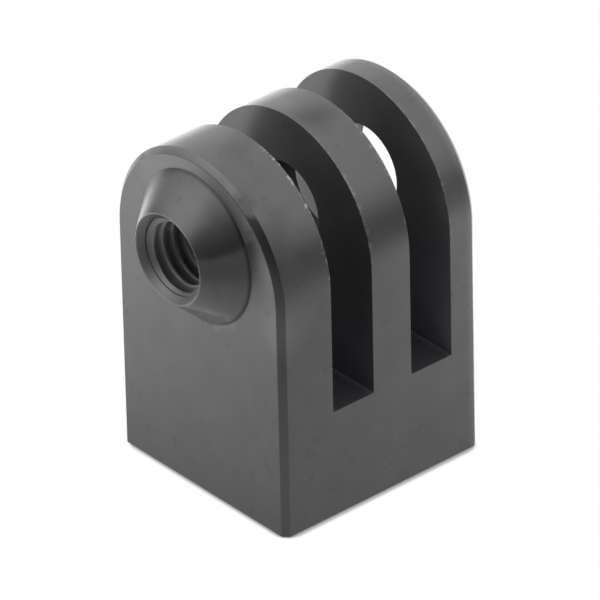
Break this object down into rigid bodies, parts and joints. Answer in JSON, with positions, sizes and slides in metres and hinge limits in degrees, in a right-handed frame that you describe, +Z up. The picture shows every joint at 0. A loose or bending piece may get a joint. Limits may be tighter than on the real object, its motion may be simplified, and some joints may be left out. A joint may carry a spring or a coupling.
{
  "type": "action camera mount base",
  "caption": "Small milled block with rounded parallel prongs for action camera fingers, a conical tapped boss for the pivot screw and a tapped hole in the underside.",
  "frame": {"origin": "centre of the underside of the block, on the axis of the tapped hole for the base screw", "axes": "+X across the prongs from the boss side to the outer prong, +Y from the front to the back, +Z up from the base to the round prong ends"},
  "size_m": [0.0177, 0.015, 0.0234],
  "materials": {
    "black_anodised_aluminium": "milled, fine bead blasted and anodised black, satin"
  },
  "bodies": {
    "root": {"mount_base": "black_anodised_aluminium"}
  },
  "joints": []
}
